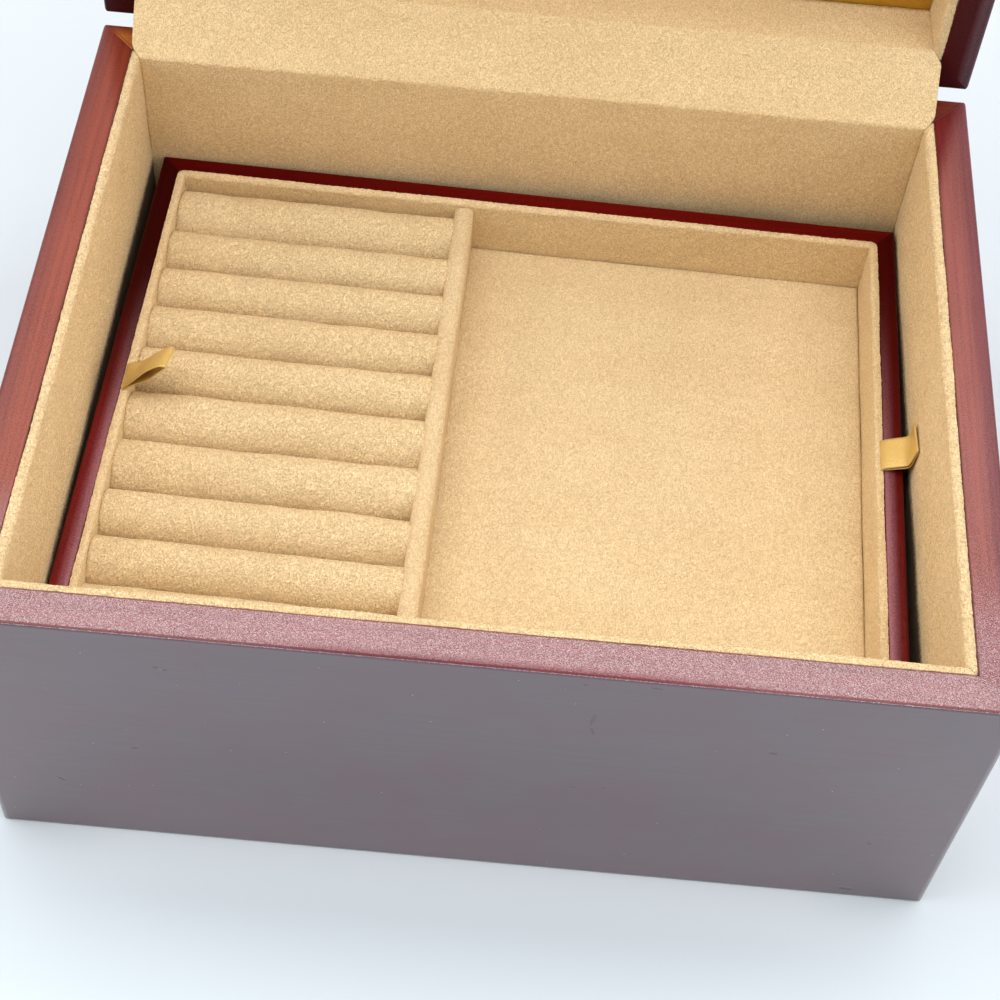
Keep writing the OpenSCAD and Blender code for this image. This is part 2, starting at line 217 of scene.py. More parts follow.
def tube_faces(rows, columns):
    """Faces of a closed outline of `rows` points drawn along `columns` places, with both ends shut."""
    faces = []
    for i in range(rows):
        here, there = i * columns, (i + 1) % rows * columns
        faces += [(here + j, here + j + 1, there + j + 1, there + j) for j in range(columns - 1)]
    faces.append(tuple(i * columns for i in range(rows)))
    faces.append(tuple(i * columns + columns - 1 for i in reversed(range(rows))))
    return faces


def add_piece(name, points, faces, body, material, nodes, ride=True, lip=None):
    """Makes a piece from points in its body's straight frame, in place of CAD nodes.

    Lip has a value for each point, which says how far the point lies on a brushed edge, where the felt takes
    painted shade.
    """
    mesh = bpy.data.meshes.new(name)
    mesh.from_pydata(points.reshape(-1, 3).tolist(), [], faces)
    if lip is not None:
        mesh.attributes.new("lip", "FLOAT", "POINT").data.foreach_set("value", lip.ravel().astype(np.float32))
    mesh.transform(PLACES[body])
    shell = bmesh.new()
    shell.from_mesh(mesh)
    bmesh.ops.recalc_face_normals(shell, faces=shell.faces)
    shell.to_mesh(mesh)
    shell.free()
    mesh.shade_smooth()
    mesh.materials.append(material)
    piece = bpy.data.objects.new(name, mesh)
    bpy.context.scene.collection.objects.link(piece)
    if ride:
        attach(piece, body)
    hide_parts(*nodes)
    return piece


def roughen(piece, *layers):
    """Moves vertices along their normals by noise, in layers of feature size and depth."""
    mesh = piece.data
    count = len(mesh.vertices)
    points = np.zeros(count * 3, np.float32)
    normals = np.zeros(count * 3, np.float32)
    mesh.vertices.foreach_get("co", points)
    mesh.vertex_normals.foreach_get("vector", normals)
    points = points.reshape(-1, 3)
    shift = np.zeros(count)
    for size, depth in layers:
        shift += depth * np.array([noise.noise(Vector(p / size)) for p in points])
    points += normals.reshape(-1, 3) * shift[:, None].astype(np.float32)
    mesh.vertices.foreach_set("co", points.ravel())
    mesh.update()


# Materials


class Tree:
    """Short calls for building the nodes of one material."""

    def __init__(self, name):
        self.material = bpy.data.materials.new(name)
        self.material.use_nodes = True
        self.nodes = self.material.node_tree.nodes
        self.links = self.material.node_tree.links
        self.shader = self.nodes["Principled BSDF"]
        coordinates = self.add("ShaderNodeTexCoord")
        self.place = coordinates.outputs["Object"]
        self.facing = coordinates.outputs["Normal"]

    def add(self, kind, **settings):
        """Adds a node and sets its properties."""
        node = self.nodes.new(kind)
        for key, value in settings.items():
            setattr(node, key, value)
        return node

    def put(self, socket, value):
        """Links an output to a socket, or sets the socket to a constant."""
        if isinstance(value, bpy.types.NodeSocket):
            self.links.new(value, socket)
        else:
            socket.default_value = value

    def finish(self, **sockets):
        """Sets the shader's sockets, named with _ for each space, and returns the material."""
        for key, value in sockets.items():
            self.put(self.shader.inputs[key.replace("_", " ")], value)
        return self.material

    def frame(self, centre, turn, size):
        """Place in a frame with its own centre, turn in degrees and unit lengths."""
        mapping = self.add("ShaderNodeMapping", vector_type="TEXTURE")
        mapping.inputs["Location"].default_value = centre
        mapping.inputs["Rotation"].default_value = [math.radians(a) for a in turn]
        mapping.inputs["Scale"].default_value = size
        self.put(mapping.inputs["Vector"], self.place)
        return mapping.outputs["Vector"]

    def noise(self, size, stretch=(1, 1, 1), turn=(0, 0, 0), detail=2.0, rough=0.5, bend=0.0):
        """Noise whose features have the given size, drawn out along the axes by stretch."""
        texture = self.add("ShaderNodeTexNoise")
        self.put(texture.inputs["Vector"], self.frame((0, 0, 0), turn, [size * s for s in stretch]))
        texture.inputs["Scale"].default_value = 1.0
        texture.inputs["Detail"].default_value = detail
        texture.inputs["Roughness"].default_value = rough
        texture.inputs["Distortion"].default_value = bend
        return texture.outputs["Fac"]

    def math(self, operation, a, b=0.0):
        """Result of one calculation on two values."""
        node = self.add("ShaderNodeMath", operation=operation)
        self.put(node.inputs[0], a)
        self.put(node.inputs[1], b)
        return node.outputs[0]

    def plus(self, a, b):
        return self.math("ADD", a, b)

    def minus(self, a, b):
        return self.math("SUBTRACT", a, b)

    def times(self, a, b):
        return self.math("MULTIPLY", a, b)

    def most(self, a, b):
        return self.math("MAXIMUM", a, b)

    def size_of(self, a):
        return self.math("ABSOLUTE", a)

    def axes(self, vector=None):
        """The X, Y and Z of a vector, or of the place on the surface."""
        node = self.add("ShaderNodeSeparateXYZ")
        self.put(node.inputs[0], self.place if vector is None else vector)
        return node.outputs

    def span(self, value, low, high, out_low=0.0, out_high=1.0):
        """Maps low..high smoothly to out_low..out_high and holds it there outside."""
        node = self.add("ShaderNodeMapRange", interpolation_type="SMOOTHSTEP")
        for key, number in (("Value", value), ("From Min", low), ("From Max", high),
                            ("To Min", out_low), ("To Max", out_high)):
            self.put(node.inputs[key], number)
        return node.outputs["Result"]

    def mix(self, share, a, b, mode="MIX"):
        """Colour a, changed to b or by b as far as share says."""
        node = self.add("ShaderNodeMix", data_type="RGBA", blend_type=mode)
        self.put(node.inputs["Factor"], share)
        for key, value in (("A", a), ("B", b)):
            socket = next(s for s in node.inputs if s.name == key and s.type == "RGBA")
            self.put(socket, value if isinstance(value, bpy.types.NodeSocket) else (*value, 1.0))
        return next(s for s in node.outputs if s.type == "RGBA")

    def tint(self, colour, by):
        """A colour multiplied by another."""
        return self.mix(1.0, colour, by, "MULTIPLY")

    def spots(self, places):
        """Mask of small marks, each with a centre, half lengths and a turn about Y."""
        total = 0.0
        for centre, half, turn in places:
            ball = self.add("ShaderNodeTexGradient", gradient_type="SPHERICAL")
            frame = self.frame([c * MM for c in centre], (0, turn, 0), [h * MM for h in half])
            self.put(ball.inputs["Vector"], frame)
            total = self.most(ball.outputs["Fac"], total)
        return self.span(total, 0.0, 0.6)

    def specks(self, spacing, size):
        """Mask of scattered specks."""
        cells = self.add("ShaderNodeTexVoronoi")
        self.put(cells.inputs["Vector"], self.frame((0, 0, 0), (0, 0, 0), (spacing,) * 3))
        cells.inputs["Scale"].default_value = 1.0
        return self.span(cells.outputs["Distance"], size / spacing, 0.5 * size / spacing)

    def rim_sides(self, middle, turn):
        """Distances outward from the middle lines of a rim that is turned by some degrees."""
        axes = self.axes(self.frame((0, 0, 0), (0, 0, turn), (1, 1, 1)))
        return [self.minus(self.size_of(axes[i]), m) for i, m in enumerate(middle)]

    def toward(self, direction):
        """How squarely the surface faces a direction, from -1 to 1."""
        node = self.add("ShaderNodeVectorMath", operation="DOT_PRODUCT")
        self.put(node.inputs[0], self.facing)
        node.inputs[1].default_value = direction
        return node.outputs["Value"]

    def bump(self, height, depth, under=None):
        """Normal of a surface whose height runs from 0 to depth."""
        node = self.add("ShaderNodeBump")
        node.inputs["Distance"].default_value = depth
        self.put(node.inputs["Height"], height)
        if under is not None:
            self.put(node.inputs["Normal"], under)
        return node.outputs["Normal"]


# Felt: the parts of its nap, and how its colour changes
STRAND_SIZE = 0.42 * MM
STRAND_STRETCH = (4, 1, 1)
STRAND_TURNS = ((0, 40, 38), (0, -45, -48), (35, 10, 90))
FIBRE_LAYERS = ((2.6 * MM, (10, 20, 30)), (2.1 * MM, (70, -40, 140)))
FIBRE_WIDTH = 0.022
FUZZ_SIZE = 0.45 * MM
FUZZ_SHARE = 0.4
STRAND_SHARE = 0.6
NAP_SPAN = (0.44, 0.66)
PIT_SHARES = (1.0, 1.1, 1.3)
TIP_SHARES = (0.8, 0.9, 1.1)
MOTTLE_SIZE = 18 * MM
MOTTLE_TINT = (0.965, 0.95, 0.925)
# Painted shade on the rounded edges of the felt boards
LIP_SHADE_TINT = (0.88, 0.86, 0.87)
# Painted shade of the gap beside the tray, on the case lining: its colour, how far under the tray's top it
# starts, the height over which it comes in, and how ragged its edge is
GAP_SHADE_COLOUR = (0.14, 0.088, 0.05)
GAP_DEPTH = 1.5 * MM
GAP_FADE = 4 * MM
GAP_FRAY = 0.8 * MM
SHEEN_TINT = (0.95, 0.88, 0.74, 1.0)

# Lacquer: the sizes of its figure, how its rims wear, the painted shade on the front rim's outer edge, and
# the marks on it
GRAIN_SIZE = 1.6 * MM
GRAIN_STRETCH = 45.0
GRAIN_TINT = (0.5, 0.4, 0.4)
CLOUD_SIZE = 30 * MM
WAVE_SIZE = 14 * MM
PEEL_SIZE = 0.42 * MM
PIT_SIZE = 0.45 * MM
PEEL_DEPTH = 0.12 * MM
WAVE_DEPTH = 0.12 * MM
DENT_DEPTH = 0.25 * MM
FACE_PEEL = 0.06
RIM_FACING = (0.55, 0.9)
RIM_BARE = 0.75
FACE_BARE = 0.12
# Where the side rims take on the front rim's painted reflection, along Y
SHINE_SPAN = (-68 * MM, -104 * MM)
# Painted shade on the front rim's outer edge: where it lies across the rim, and its colour
EDGE_SHADE_ACROSS = (2.6 * MM, 5.2 * MM)
EDGE_SHADE_RED = (0.15, 0.013, 0.020)
MITRE_WIDTH = (0.35 * MM, 0.1 * MM)
MITRE_DARK = (0.03, 0.004, 0.004)
DENT_DARK = (0.02, 0.005, 0.006)
DUST_SPACING = 7 * MM
DUST_SIZE = 0.22 * MM
DUST_GREY = (0.62, 0.54, 0.52)

# Base boards and hinges
BOARD_DARK = (0.030, 0.016, 0.010)
BOARD_LIGHT = (0.075, 0.042, 0.026)
BRASS_BRIGHT = (0.62, 0.43, 0.16)
BRASS_STAINED = (0.42, 0.27, 0.10)

# Nicks and scratches of the front: centre and half lengths in mm, turn in degrees
FRONT_DENTS = (
    ((-89.1, -122, 106.5), (2.6, 1.5, 0.7), 25),
    ((-100.9, -122, 58.0), (1.6, 1.5, 0.9), -20),
    ((-126.2, -122, 33.2), (1.9, 1.5, 0.8), 40),
    ((86.3, -122, 89.8), (1.5, 1.5, 0.9), 10),
    ((124.1, -122, 39.4), (2.0, 1.5, 0.8), 60),
    ((123.7, -122, 5.6), (3.0, 1.5, 1.1), 5),
    ((29.7, -122, 118.7), (1.1, 1.5, 0.6), 37),
    ((49.5, -122, 120.0), (2.3, 1.5, 0.35), 10),
    ((33.4, -122, 99.9), (4.2, 1.5, 0.5), 97),
    ((33.7, -122, 93.3), (2.6, 1.5, 0.4), 72),
    ((31.4, -122, 58.3), (1.1, 1.5, 0.4), 6),
    ((40.3, -122, 59.4), (1.1, 1.5, 0.4), 6),
    ((70.4, -122, 35.8), (0.7, 1.5, 0.5), 18),
)


def felt_material(name, tan, contrast, depth, painted_shade_below=None):
    """Brushed tan felt: a fine nap with curled fibres and soft mottling, painted shade on the boards' rounded
    edges, and, when a height is given, painted shade below it; depth is that of the nap in mm.
    """
    t = Tree(name)
    pit = [c * (1 - contrast * k) for c, k in zip(tan, PIT_SHARES)]
    tip = [c * (1 + contrast * k) for c, k in zip(tan, TIP_SHARES)]
    strands = 0.0
    for turn in STRAND_TURNS:
        strand = t.noise(STRAND_SIZE, stretch=STRAND_STRETCH, turn=turn, detail=1, bend=0.6)
        strands = t.most(strand, strands)
    fibres = 0.0
    for size, turn in FIBRE_LAYERS:
        level = t.minus(t.noise(size, turn=turn, detail=2, bend=0.8), 0.5)
        fibres = t.most(t.span(t.size_of(level), FIBRE_WIDTH, 0.0), fibres)
    fuzz = t.noise(FUZZ_SIZE, detail=2, rough=0.65, bend=0.8)
    nap = t.plus(t.times(fuzz, FUZZ_SHARE), t.times(strands, STRAND_SHARE))
    mottle = t.noise(MOTTLE_SIZE, stretch=(2, 1, 1), detail=3)
    lip = t.add("ShaderNodeAttribute", attribute_name="lip").outputs["Fac"]
    colour = t.mix(t.span(nap, *NAP_SPAN), pit, tip)
    colour = t.mix(t.times(fibres, 0.3), colour, tip)
    colour = t.mix(t.span(mottle, 0.35, 0.68), colour, t.tint(colour, MOTTLE_TINT))
    # Painted shade on the boards' rounded edges
    colour = t.mix(t.times(lip, 0.5), colour, t.tint(colour, LIP_SHADE_TINT))
    # Painted shade: below the given height the lining turns dark brown, for the shadow in the gap beside the
    # tray
    if painted_shade_below is not None:
        level = t.plus(t.axes()["Z"], t.span(nap, *NAP_SPAN, -GAP_FRAY, GAP_FRAY))
        colour = t.mix(t.span(level, painted_shade_below, painted_shade_below - GAP_FADE), colour, GAP_SHADE_COLOUR)
    height = t.plus(nap, t.times(fibres, 0.2))
    return t.finish(
        Base_Color=colour, Roughness=0.95, Specular_IOR_Level=0.1,
        Sheen_Weight=0.06, Sheen_Roughness=0.45, Sheen_Tint=SHEEN_TINT,
        Normal=t.bump(height, depth * MM))


def lacquer_material(name, grain_axis, rim, paint, reach, gloss, middle,
                     turn=0.0, fade=None, shine=None, dark_edge=None):
    """Red lacquer over wood: hazy faces and a rim that goes from inner to outer colour, a painted reflection.

    Along an axis the rim fades to dark and loses its coat, a painted dark reflection on the side rims; toward
    the front it takes on the front rim's colour, a painted reflection, and a fuller coat.
    Between four places along X its outer edge turns dark red and loses its coat, painted shade that comes and
    goes over those places.
    Where the lacquer is bare, it has lost its clear coat.
    """
    t = Tree(name)
    inner, outer, face, patch = paint
    coat, coat_ior, specular, face_coat = gloss
    stretch = [1.0, 1.0, 1.0]
    stretch[grain_axis] = GRAIN_STRETCH
    grain = t.noise(GRAIN_SIZE, stretch=stretch, detail=3, rough=0.55, bend=0.2)
    cloud = t.noise(CLOUD_SIZE, detail=3)
    peel = t.noise(PEEL_SIZE, detail=1.5)
    pits = t.noise(PIT_SIZE, turn=(20, 30, 40), detail=2, rough=0.7)
    place = t.axes()
    on_rim = t.span(t.toward(rim), *RIM_FACING)
    off_rim = t.minus(1.0, on_rim)
    sides = t.rim_sides(middle, turn)
    mitred = len(sides) > 1
    across = t.most(*sides) if mitred else sides[0]

    # Rim alone
    # Painted reflection: the rim's colour goes from inner to outer across it
    colour = t.mix(t.span(across, reach[0] * MM, reach[1] * MM), inner, outer)
    bare = t.span(pits, 0.57, 0.43, 0.0, RIM_BARE)
    weight = coat
    # The rim darkens along an axis and loses its coat there; on the side rims this is a painted dark
    # reflection of the lid
    if fade is not None:
        axis, start, end, lean, dark = fade
        along = t.minus(place[axis], t.times(across, lean))
        faded = t.span(along, start * MM, end * MM)
        colour = t.mix(faded, colour, dark)
        bare = t.most(bare, faded)
    # Painted reflection: near the front the side rims take on the front rim's colour, with a fuller coat
    if shine is not None:
        shining = t.span(place["Y"], *SHINE_SPAN)
        colour = t.mix(shining, colour, shine)
        weight = t.plus(coat, t.times(shining, 1.0 - coat))
    # Painted shade: a dark red band on the rim's outer edge, whose coat is taken away
    if dark_edge is not None:
        come, full, wane, gone = [x * MM for x in dark_edge]
        band = t.times(t.span(place["X"], come, full), t.span(place["X"], gone, wane))
        band = t.times(band, t.span(across, *EDGE_SHADE_ACROSS))
        colour = t.mix(band, colour, EDGE_SHADE_RED)
        bare = t.most(bare, t.times(band, RIM_BARE))

    # Rim and faces together
    colour = t.mix(on_rim, t.mix(t.span(cloud, 0.38, 0.62), face, patch), colour)
    bare = t.plus(t.times(on_rim, bare), t.times(off_rim, FACE_BARE))
    weight = t.plus(t.times(on_rim, weight), t.times(off_rim, face_coat))
    shade = t.plus(t.span(grain, 0.35, 0.65, 0.0, 0.17), t.span(cloud, 0.3, 0.7, 0.0, 0.15))
    shade = t.plus(shade, t.times(on_rim, t.span(grain, 0.35, 0.65, 0.0, 0.22)))
    shade = t.plus(shade, t.times(on_rim, t.span(peel, 0.36, 0.64, -0.3, 0.3)))
    colour = t.mix(shade, colour, t.tint(colour, GRAIN_TINT))
    if mitred:
        mitre = t.span(t.size_of(t.minus(*sides)), *MITRE_WIDTH)
        colour = t.mix(t.times(mitre, 0.6), colour, MITRE_DARK)
    dents = t.spots(FRONT_DENTS)
    dust = t.times(off_rim, t.specks(DUST_SPACING, DUST_SIZE))
    colour = t.mix(t.times(dents, 0.85), colour, DENT_DARK)
    colour = t.mix(t.times(dust, 0.6), colour, DUST_GREY)
    height = t.times(peel, t.plus(t.times(on_rim, 1.0 - FACE_PEEL), FACE_PEEL))
    normal = t.bump(t.noise(WAVE_SIZE, detail=1), WAVE_DEPTH, t.bump(height, PEEL_DEPTH))
    normal = t.bump(t.minus(1.0, dents), DENT_DEPTH, normal)
    return t.finish(
        Base_Color=colour, Roughness=0.4, Specular_IOR_Level=specular,
        Coat_Weight=t.times(t.minus(1.0, bare), weight),
        Coat_Roughness=0.1, Coat_IOR=coat_ior, Normal=normal, Coat_Normal=normal)


def board_material():
    """Plain dark board of the two bases."""
    t = Tree("base_board")
    grain = t.noise(0.8 * MM, stretch=(30, 1, 1), detail=4, rough=0.6)
    colour = t.mix(t.span(grain, 0.3, 0.7), BOARD_DARK, BOARD_LIGHT)
    return t.finish(Base_Color=colour, Roughness=0.6, Normal=t.bump(grain, 0.05 * MM))


def satin_material(name, light, dark, thread_axis):
    """Gold satin: fine threads along one axis under a soft sheen."""
    t = Tree(name)
    stretch = [0.5, 0.5, 0.5]
    stretch[thread_axis] = 12.0
    threads = t.noise(0.3 * MM, stretch=stretch, detail=2, rough=0.6)
    cloud = t.noise(9 * MM, detail=2)
    colour = t.mix(t.span(threads, 0.3, 0.7), dark, light)
    colour = t.mix(t.span(cloud, 0.3, 0.7, 0.0, 0.35), colour, dark)
    return t.finish(
        Base_Color=colour, Roughness=0.38, Metallic=0.35,
        Normal=t.bump(threads, 0.03 * MM))


def brass_material():
    """Satin brass with fine scratches along the hinge."""
    t = Tree("brass")
    scratch = t.noise(0.25 * MM, stretch=(40, 1, 1), detail=3)
    stain = t.noise(6 * MM, detail=3)
    colour = t.mix(t.span(stain, 0.35, 0.75), BRASS_BRIGHT, BRASS_STAINED)
    return t.finish(
        Base_Color=colour, Metallic=1.0, Roughness=t.span(scratch, 0.3, 0.7, 0.22, 0.42),
        Normal=t.bump(scratch, 0.01 * MM))


UP = (0, 0, 1)
FRONT = (0, -1, 0)

# Middle lines of the rims, as distances from the middle of the case and of the tray
RIM_MIDDLE = (straight_box("case_right", "case")[1] + straight_box("liner_back", "case")[1])[:2] / 2
TRAY_INSIDE = [straight_box("tray_liner_right", "tray")[1][0], straight_box("tray_liner_back", "tray")[1][1]]
TRAY_MIDDLE = (straight_box("tray_right", "tray")[1][:2] + TRAY_INSIDE) / 2
TRAY_TURN = math.degrees(PLACES["tray"].to_euler().z)
TRAY_TOP = straight_box("tray_back", "tray")[1][2]

# Colours of the hazy faces, and the inner and outer colour of each rim; the change from inner to outer colour
# across a rim is a painted reflection
HAZE = ((0.068, 0.019, 0.0365), (0.079, 0.0145, 0.0315))
TRAY_RED = (0.115, 0.0016, 0.0012)
# Painted reflection on the inner half of the tray's side rims
TRAY_REFLECTION_MAUVE = (0.33, 0.13, 0.155)
CASE_PAINT = {
    "front": ((0.20, 0.048, 0.054), (0.20, 0.048, 0.054)),
    "right": ((0.255, 0.070, 0.056), (0.165, 0.040, 0.044)),
    "back": ((0.40, 0.12, 0.020), (0.17, 0.020, 0.010)),
    "left": ((0.255, 0.056, 0.032), (0.185, 0.042, 0.032)),
}
LID_PAINT = {
    "front": ((0.055, 0.002, 0.002), (0.055, 0.002, 0.002)),
    "right": ((0.060, 0.001, 0.001), (0.10, 0.045, 0.055)),
    "back": ((0.055, 0.002, 0.002), (0.055, 0.002, 0.002)),
    "left": ((0.045, 0.001, 0.001), (0.045, 0.001, 0.001)),
}
TRAY_PAINT = {
    "front": (TRAY_RED, TRAY_RED),
    "right": (TRAY_REFLECTION_MAUVE, (0.11, 0.002, 0.002)),
    "back": (TRAY_RED, TRAY_RED),
    "left": (TRAY_REFLECTION_MAUVE, (0.16, 0.007, 0.006)),
}

# Where the outer colour of a rim starts and is full, in mm outward from its middle line
CASE_REACH = (0, 6)
LID_REACH = (1.8, 5)
TRAY_REACH = (-3.0, 1.4)

# Fading of a rim to dark, with its coat taken away: on the side rims a painted dark reflection of the lid
# toward the back, on the back rims a darkening along X; axis, start and end along it in mm, lean across the
# rim, and the colour it comes to
CASE_FADE = {
    "right": (1, 85, 112, 4.0, (0.135, 0.008, 0.007)),
    "back": (0, 60, 130, 0.0, (0.16, 0.026, 0.014)),
    "left": (1, 85, 112, 4.0, (0.18, 0.022, 0.006)),
}
TRAY_FADE = {
    "right": (1, -40, 80, 0.0, (0.055, 0.001, 0.001)),
    "back": (0, 20, -110, 0.0, (0.08, 0.001, 0.001)),
    "left": (1, -40, 60, 0.0, (0.035, 0.0005, 0.0008)),
}

# Painted shade on the outer edge of the case's front rim: the places along X in mm where it comes, is full,
# wanes and is gone
CASE_EDGE_SHADE = {"front": (-75, -35, 40, 100)}

# Gloss: coat of the rim, index of the coat, specular level, and coat of the faces
CASE_GLOSS = {
    "front": (1.0, 1.75, 0.5, 1.0),
    "right": (0.20, 1.75, 0.2, 1.0),
    "back": (0.20, 1.75, 0.2, 1.0),
    "left": (0.16, 1.75, 0.2, 1.0),
}
LID_GLOSS = (0.09, 1.75, 0.1, 1.0)
TRAY_GLOSS = {
    "front": (0.2, 1.5, 0.05, 0.4),
    "right": (0.22, 1.5, 0.05, 0.4),
    "back": (0.1, 1.5, 0.05, 0.4),
    "left": (0.22, 1.5, 0.05, 0.4),
}

# One felt throughout: the rolls, flap and linings get a lighter tan than the pads, painted light that makes
# up for the shade of their deeper nap and the lesser light on their upright and rounded faces
PAD_FELT = felt_material("pad_felt", (0.745, 0.555, 0.315), 0.21, 0.45)
ROLL_FELT = felt_material("roll_felt", (0.81, 0.60, 0.335), 0.27, 0.8)
FLAP_FELT = felt_material("flap_felt", (0.80, 0.585, 0.322), 0.24, 0.5)
BOARD_FELT = felt_material("board_felt", (0.845, 0.63, 0.35), 0.21, 0.65)
# The case lining takes painted shade from just under the tray's top downward
CASE_FELT = felt_material("case_felt", (0.84, 0.62, 0.342), 0.23, 0.8, TRAY_TOP - GAP_DEPTH)
CASE_LACQUER = {}
LID_LACQUER = {}
TRAY_LACQUER = {}
for i, side in enumerate(SIDES):
    CASE_LACQUER[side] = lacquer_material(
        f"case_lacquer_{side}", i % 2, UP, CASE_PAINT[side] + HAZE, CASE_REACH, CASE_GLOSS[side], RIM_MIDDLE,
        fade=CASE_FADE.get(side), shine=CASE_PAINT["front"][0], dark_edge=CASE_EDGE_SHADE.get(side))
    LID_LACQUER[side] = lacquer_material(
        f"lid_lacquer_{side}", i % 2 * 2, FRONT, LID_PAINT[side] + HAZE, LID_REACH, LID_GLOSS, RIM_MIDDLE[:1])
    TRAY_LACQUER[side] = lacquer_material(
        f"tray_lacquer_{side}", i % 2, UP, TRAY_PAINT[side] + (TRAY_RED, TRAY_RED), TRAY_REACH,
        TRAY_GLOSS[side], TRAY_MIDDLE, TRAY_TURN, TRAY_FADE.get(side))
BOARD = board_material()
GOLD_PANEL = satin_material("gold_panel", (0.58, 0.31, 0.025), (0.42, 0.21, 0.012), 0)
RIBBON = satin_material("ribbon", (0.80, 0.58, 0.22), (0.60, 0.38, 0.09), 0)
BRASS = brass_material()


def finish_node(node, material):
    """Gives a CAD node that stays its own material."""
    NODES[node].data.materials.clear()
    NODES[node].data.materials.append(material)


# Felt boards


def board_section(thick, bottom, top, wall_lip, inner_lip):
    """Outline of a felt-covered board as distance from the wall and height, round at its upper edges."""
    back = arc((wall_lip, top - wall_lip), wall_lip, 180, 90, WALL_LIP_POINTS)
    face = arc((thick - inner_lip, top - inner_lip), inner_lip, 90, 0, INNER_LIP_POINTS)
    start = top - inner_lip
    drops = (start - bottom) * np.linspace(0, 1, FACE_ROWS + 1)[1:] ** FACE_CROWDING
    down = np.column_stack([np.full(FACE_ROWS, thick), start - drops])
    return np.vstack([[(0.0, bottom)], back, face, down])


def lining_points(side, half, section, corner):
    """Points of one board of a lining, with mitred ends and rounded outer corners."""
    along, across = half if side % 2 == 0 else half[::-1]
    count = int(2 * along / BOARD_STEP)
    rows = []
    for u, z in section:
        r = max(corner - u, SHARP)
        x, y = along - u - r, u + r - across
        straight = np.column_stack([np.linspace(-x, x, count)[1:-1], np.full(count - 2, y - r)])
        first = arc((-x, y), r, 225, 270, CORNER_STEPS)
        last = arc((x, y), r, 270, 315, CORNER_STEPS)
        line = np.vstack([first, straight, last])
        rows.append(np.column_stack([line, np.full(len(line), z)]))
    turn = np.array(Matrix.Rotation(math.radians(90 * side), 3, "Z"))
    return np.array(rows) @ turn.T


def lip_share(section, top):
    """How far each point of a board's outline is onto its upper edge."""
    return np.clip((section[:, 1] - top + LIP_START) / LIP_RAMP, 0, 1)


def add_lining(prefix, body, wall_lip, inner_lip, corner, press=0.0, flap=False):
    """Four felt-covered boards round the inside of a body, pressed thinner; a flap covers the back one."""
    boxes = [straight_box(prefix + side, body) for side in SIDES]
    half = (boxes[1][1][0], boxes[2][1][1])
    thick = boxes[0][1][1] - boxes[0][0][1] - press
    bottom, top = boxes[0][0][2], boxes[0][1][2]
    for i, side in enumerate(SIDES):
        section = board_section(thick, bottom, top, wall_lip, inner_lip)
        if flap and side == "back":
            section = board_section(thick - FLAP_THICK, bottom, top, SHARP, FLAP_BEND)
        lip = lip_share(section, top)
        if body == "lid":
            section[:, 1] = bottom + top - section[:, 1]
        points = lining_points(i, half, section, corner)
        felt = CASE_FELT if body == "case" else BOARD_FELT
        piece = add_piece(f"felt_{prefix}{side}", points, tube_faces(*points.shape[:2]), body, felt,
                          [prefix + side], lip=np.repeat(lip, points.shape[1]))
        roughen(piece, *BOARD_NAP)


# Pads and the divider


def slab_places(low, high, edge, step):
    """Places along one side of a slab, close together where its edge is round."""
    rim = edge * SLAB_RIM
    count = max(2, int((high - low - 2 * edge) / step))
    middle = np.linspace(low + edge, high - edge, count + 1)[1:-1]
    return np.concatenate([low + rim, middle, high - rim[::-1]])


def edge_drop(places, low, high, edge):
    """How far a rounded edge falls away at each place."""
    inside = np.minimum(np.minimum(places - low, high - places), edge)
    return edge - np.sqrt(np.maximum(edge ** 2 - (edge - inside) ** 2, 0))


def add_slab(name, node, body, material, edge, step, layers, face_up=True, reach=0.0):
    """Flat pad with rounded upper edges, where a CAD node lies, reaching further by a little on each side."""
    low, high = straight_box(node, body)
    low[:2] -= reach
    high[:2] += reach
    x = slab_places(low[0], high[0], edge, step)
    y = slab_places(low[1], high[1], edge, step)
    drop_x = edge_drop(x, low[0], high[0], edge)
    drop_y = edge_drop(y, low[1], high[1], edge)
    drop = np.maximum(drop_x[:, None], drop_y[None, :])
    grid_x, grid_y = np.meshgrid(x, y, indexing="ij")
    face = high[2] - drop if face_up else low[2] + drop
    top = np.stack([grid_x, grid_y, face], axis=2)
    columns, rows = len(x), len(y)
    faces = [
        (i * rows + j, (i + 1) * rows + j, (i + 1) * rows + j + 1, i * rows + j + 1)
        for i in range(columns - 1) for j in range(rows - 1)
    ]
    rim = (
        [i * rows for i in range(columns)]
        + [(columns - 1) * rows + j for j in range(1, rows)]
        + [i * rows + rows - 1 for i in range(columns - 2, -1, -1)]
        + list(range(rows - 2, 0, -1))
    )
    points = top.reshape(-1, 3)
    skirt = points[rim].copy()
    skirt[:, 2] = low[2] if face_up else high[2]
    start = len(points)
    count = len(rim)
    faces += [(rim[k], rim[(k + 1) % count], start + (k + 1) % count, start + k) for k in range(count)]
    faces.append(tuple(range(start, start + count)))
    piece = add_piece(name, np.vstack([points, skirt]), faces, body, material, [node])
    roughen(piece, *layers)


def add_divider():
    """Felt-covered divider between the two halves of the tray."""
    low, high = straight_box("tray_divider", "tray")
    section = board_section(high[0] - low[0], low[2], high[2], DIVIDER_LIP, DIVIDER_LIP)
    count = int((high[1] - low[1]) / BOARD_STEP)
    y = np.linspace(low[1] - TRAY_PRESS, high[1] + TRAY_PRESS, count)
    points = np.array([[(low[0] + u, place, z) for place in y] for u, z in section])
    piece = add_piece("felt_tray_divider", points, tube_faces(*points.shape[:2]), "tray", PAD_FELT,
                      ["tray_divider"], lip=np.repeat(lip_share(section, high[2]), count))
    roughen(piece, *DIVIDER_NAP)


# Ring rolls


